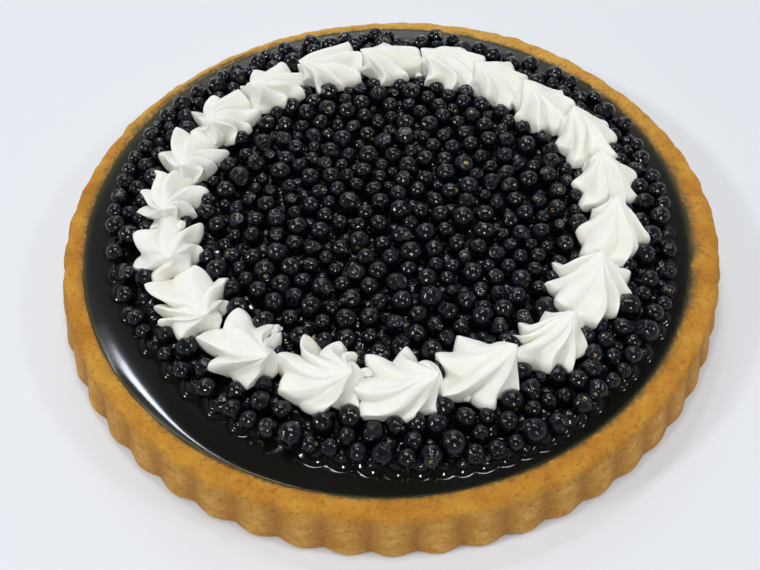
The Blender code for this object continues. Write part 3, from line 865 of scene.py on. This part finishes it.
cream, shader = new_material("whipped_cream")
place = add_node(cream, "ShaderNodeTexCoord", {}, {}).outputs["Object"]
crease_shade_share = add_node(cream, "ShaderNodeAttribute", {"attribute_name": "valley"}, {}).outputs["Fac"]
# Painted shade: the cream turns darker and warmer where the crease share is high
white = add_node(
    cream, "ShaderNodeMix", COLOURS, {0: crease_shade_share, 6: linear("#E9E9E2"), 7: linear("#E5E2D5")}
)
cream.node_tree.links.new(white.outputs[2], shader.inputs["Base Color"])
foam = add_node(
    cream, "ShaderNodeTexNoise", {}, {"Vector": place, "Scale": grain(FOAM_BUBBLE), "Detail": 3.0}
)
relief = add_node(
    cream, "ShaderNodeBump", {},
    {"Height": foam.outputs["Fac"], "Strength": 0.12, "Distance": FOAM_DEPTH},
)
cream.node_tree.links.new(relief.outputs[0], shader.inputs["Normal"])
shader.inputs["Roughness"].default_value = 0.5
shader.inputs["Subsurface Weight"].default_value = 0.5
shader.inputs["Subsurface Radius"].default_value = (1.0, 0.85, 0.6)
shader.inputs["Subsurface Scale"].default_value = 2.0 * MM

# Share of the way in from the outline: a few rows on the underside, then the upper side's rows
UNDER_ROWS = (0.55, 0.22, 0.07, 0.02)
upper_rows = (np.arange(TOP_ROWS) / TOP_ROWS) ** 1.35
inward = np.concatenate((UNDER_ROWS, upper_rows))[:, None]
beneath = (np.arange(len(inward)) < len(UNDER_ROWS))[:, None]
out = 1.0 - inward
for index, (_, _, lean, petals) in enumerate(SHELLS):
    bearing, share, ridge, edge = shell_bearings(petals, PETAL_COLUMNS)
    petal = np.repeat(np.arange(len(petals)), PETAL_COLUMNS)

    # The body: a rounded lip all round, from which the upper side rises to the peak. The sines of
    # a petal's and a shell's number make them differ, the same way each run
    height = SHELL_HEIGHT - (0.5 + 0.5 * math.sin(2.3 * index)) * MM
    rear = np.exp(-(off_line(bearing, -0.5 * math.pi) / REAR_SPREAD) ** 2)
    thick = PETAL_LIP * (1.0 + 0.3 * np.sin(1.9 * petal + index)) + REAR_LIFT * rear
    rounding = np.clip(inward * edge / LIP_ROUNDING, 0.0, 1.0)
    lip = thick * np.sqrt(1.0 - (1.0 - rounding) ** 2)
    crown = (height - thick) * (1.0 - out ** 1.5) ** 1.15

    # The folds: steps and ribs between the petals, which fade out on the way in to the peak
    step = STEP * FLATTER.get(index + 1, 1.0) * (0.85 + 0.75 * np.sin(2.9 * petal + 1.7 * index))
    slope = np.where(share < STEP_PLACE, share / STEP_PLACE, (1.0 - share) / (1.0 - STEP_PLACE))
    step = step * (smooth_step(np.clip(slope, 0.0, 1.0)) - STEP_MIDDLE)
    rib = RIB * np.sin(math.tau * (2.0 * share + 0.37 * petal))
    crease_start = 0.06 + 0.75 * (0.5 + 0.5 * np.sin(2.2 * petal + 1.3 * index)) ** 0.8
    fade = smooth_step(np.clip((out - crease_start) / 0.5, 0.0, 1.0))
    puff = LOBE_PUFF * (ridge - 0.5) * out ** 2
    curl = LIP_CURL * ridge * out ** 5
    rise = np.where(beneath, 0.0, lip + crown + fade * rib * (1.0 - out ** 8))
    folds = fade * (step + STEP_MIDDLE * STEP) + puff
    rise = rise + np.where(beneath, out ** 6, 1.0) * folds + curl
    rise = rise + PEAK_NUB * np.exp(-(out / PEAK_NUB_SHARE) ** 2)

    # The plan: the petals wind inward, and the whole leans along the ring
    twist = TWIST + TWIST_RANGE * math.sin(5.1 * index)
    sway = CREASE_SWAY * np.sin(2.0 * bearing + 1.9 * index) * np.sin(math.tau * inward)
    wound = bearing + np.where(beneath, 0.0, twist * np.sin(0.5 * math.pi * inward) + sway)
    spread = (edge.mean() + (edge - edge.mean()) * (0.4 + 0.6 * out ** 2)) * out
    pulled = np.where(beneath, 0.0, lean * MM * inward ** 1.3)
    x, y = place_on_ring(index, spread * np.cos(wound), spread * np.sin(wound) + pulled)

    points = np.stack((x, y, SHELL_BASE + rise * np.ones_like(x)), axis=-1).reshape(-1, 3)
    upper = np.repeat(np.where(beneath, 0.0, np.clip(inward * 4, 0.0, 1.0)).ravel(), len(bearing))
    points[:, 2] += swells(points, [(tall, wide, seed + index) for tall, wide, seed in SLUMPS]) * MM * upper
    foot_x, foot_y = place_on_ring(index, np.zeros(1), np.zeros(1))
    peak_x, peak_y = place_on_ring(index, np.zeros(1), np.full(1, lean * MM))
    peak_z = points[-len(bearing):, 2].mean()
    points = np.vstack((points, (foot_x[0], foot_y[0], SHELL_BASE), (peak_x[0], peak_y[0], peak_z)))
    points[:, 2] = np.minimum(points[:, 2], cad_high.z - 0.01 * MM)
    # Painted shade: this share tints the cream darker and warmer in the creases between petals
    valley = np.append(((1.0 - ridge) * out ** 2 * fade).ravel(), (0.0, 0.0))
    add_piece(
        "piped_shell_%02d" % (index + 1), points, ring_faces(len(inward), len(bearing)), cream,
        ["cream_shell_%02d" % (index + 1)], {"valley": valley},
    )

# Cream bits
# Small torn bits and drops of the same cream, left where the tube was pulled away from a shell.
# They lie on the berries beside the ring.

# Bearing (degrees) and distance (mm) on the cake, height (mm), half sizes (mm) and turn (degrees)
CREAM_BITS = (
    (259.5, 81.0, 28.2, 2.3, 1.6, 1.5, 160),
    (264.0, 87.0, 27.6, 3.6, 2.2, 2.2, 150),
    (286.0, 101.5, 27.4, 2.0, 1.6, 1.5, 10),
    (235.5, 80.5, 28.0, 3.4, 1.7, 2.0, 55),
    (237.0, 84.0, 28.6, 3.4, 1.8, 2.2, 55),
    (188.5, 89.0, 32.5, 2.6, 1.7, 1.6, 80),
    (78.5, 88.0, 27.0, 2.0, 1.8, 1.8, 0),
)
BIT_RINGS = 12
BIT_COLUMNS = 20
BIT_LUMP = 1.6 * MM
BIT_LUMPINESS = 0.35

polar = np.linspace(0.0, math.pi, BIT_RINGS + 2)[1:-1, None]
spoke = np.linspace(0.0, math.tau, BIT_COLUMNS, endpoint=False)[None, :]
ball = np.stack(
    (np.sin(polar) * np.cos(spoke), np.sin(polar) * np.sin(spoke), np.cos(polar) + 0.0 * spoke), axis=-1
)
ball = np.vstack((ball.reshape(-1, 3), (0.0, 0.0, 1.0), (0.0, 0.0, -1.0)))
one_bit = ring_faces(BIT_RINGS, BIT_COLUMNS, flip=True)
bit_points, bit_faces = [], []
for index, (clock, distance, height, long, wide, tall, turn) in enumerate(CREAM_BITS):
    bit = ball * np.array((long, wide, tall)) * MM
    bit = bit * (1.0 + BIT_LUMPINESS * lumps(bit, BIT_LUMP, 50.0 + index))[:, None]
    bit = bit @ np.array(Matrix.Rotation(math.radians(turn), 3, "Z")).T
    bearing = math.radians(clock)
    middle = (distance * math.cos(bearing), distance * math.sin(bearing), height)
    bit_points.append(bit + np.array(middle) * MM)
    bit_faces += [tuple(index * len(bit) + corner for corner in face) for face in one_bit]
add_piece("cream_bits", np.vstack(bit_points), bit_faces, cream, [])

# Table, light and camera
# A plain pale table under a ceiling lamp in two panes, with a bright patch of wall high behind,
# lamps round the room, and a small warm one behind that tints a few of the jelly's glints.

TABLE_HALF = 3.0

table, shader = new_material("pale_table")
shader.inputs["Base Color"].default_value = linear("#DFE2E7")
shader.inputs["Roughness"].default_value = 0.6
corners = [(x * TABLE_HALF, y * TABLE_HALF, 0.0) for x, y in ((-1, -1), (1, -1), (1, 1), (-1, 1))]
mesh = bpy.data.meshes.new("table_top")
mesh.from_pydata(corners, [], [(0, 1, 2, 3)])
mesh.materials.append(table)
table_top = bpy.data.objects.new("table_top", mesh)
bpy.context.scene.collection.objects.link(table_top)

# Name, place (m), width and length (m), power (W) and colour
LAMPS = (
    ("panel_left", (-0.30, 0.30, 1.7), 0.45, 0.11, 5.2, "#FFFFFF"),
    ("panel_right", (0.30, 0.30, 1.7), 0.45, 0.11, 5.2, "#FFFFFF"),
    ("lamp_behind", (-0.441, 1.149, 1.824), 0.13, 0.20, 4.2, "#EAF1FF"),
    ("lamp_front", (0.1, -1.5, 1.3), 0.20, 0.20, 10.8, "#FFFDF8"),
    ("lamp_side_left", (-1.7, -0.3, 1.3), 0.25, 0.25, 11.5, "#FFFFFF"),
    ("lamp_side_right", (1.7, -0.1, 1.4), 0.25, 0.25, 6.0, "#FFFFFF"),
    ("lamp_warm", (-0.20, 1.06, 1.63), 0.10, 0.07, 1.0, "#E4C48C"),
)
for name, place, width, length, power, tint in LAMPS:
    lamp = bpy.data.lights.new(name, "AREA")
    lamp.shape = "RECTANGLE"
    lamp.size, lamp.size_y = width, length
    lamp.energy = power
    lamp.color = linear(tint)[:3]
    item = bpy.data.objects.new(name, lamp)
    item.location = place
    item.rotation_mode = "QUATERNION"
    item.rotation_quaternion = Vector(place).to_track_quat("Z", "Y")
    bpy.context.scene.collection.objects.link(item)

# The room: pale walls that darken upward, and the bright patch towards the window
WINDOW_WAY = Vector((-0.029, 0.838, 0.545)).normalized()
ROOM_STRENGTH = 2.4

world = bpy.data.worlds.new("room")
world.use_nodes = True
bpy.context.scene.world = world
sky = world.node_tree.nodes["Background"]
place = add_node(world, "ShaderNodeTexCoord", {}, {}).outputs["Generated"]
height = add_node(world, "ShaderNodeSeparateXYZ", {}, {"Vector": place}).outputs["Z"]
walls = add_node(
    world, "ShaderNodeValToRGB", {}, {"Fac": height},
    ((0.05, "#7E8082"), (0.35, "#5E6062"), (0.60, "#5C5E61"), (0.85, "#333435")),
)
facing = add_node(world, "ShaderNodeVectorMath", {"operation": "DOT_PRODUCT"}, {0: place, 1: WINDOW_WAY})
bright = add_node(
    world, "ShaderNodeValToRGB", {}, {"Fac": facing.outputs["Value"]},
    ((0.848, "#000000"), (0.906, "#4C5054"), (0.956, "#7E8488"), (0.978, "#B4BAC0"), (0.9914, "#F4FAFF")),
)
glow = add_node(
    world, "ShaderNodeVectorMath", {"operation": "ADD"},
    {0: walls.outputs["Color"], 1: bright.outputs["Color"]},
)
world.node_tree.links.new(glow.outputs[0], sky.inputs["Color"])
sky.inputs["Strength"].default_value = ROOM_STRENGTH

CAMERA_PLACE = Vector((0.0, -258.93, 311.73)) * MM
CAMERA_YAW = math.radians(0.97)
CAMERA_PITCH = math.radians(52.93)
CAMERA_ROLL = math.radians(-2.20)
SENSOR_WIDTH = 36.0
PICTURE_WIDTH = 760
FOCAL_PIXELS = 870
view = bpy.data.cameras.new("camera")
view.sensor_width = SENSOR_WIDTH
view.lens = SENSOR_WIDTH * FOCAL_PIXELS / PICTURE_WIDTH
camera = bpy.data.objects.new("camera", view)
camera.matrix_world = (
    Matrix.Translation(CAMERA_PLACE) @ Matrix.Rotation(CAMERA_YAW, 4, "Z")
    @ Matrix.Rotation(0.5 * math.pi - CAMERA_PITCH, 4, "X") @ Matrix.Rotation(CAMERA_ROLL, 4, "Z")
)
bpy.context.scene.collection.objects.link(camera)
bpy.context.scene.camera = camera
bpy.context.scene.view_settings.view_transform = "Standard"
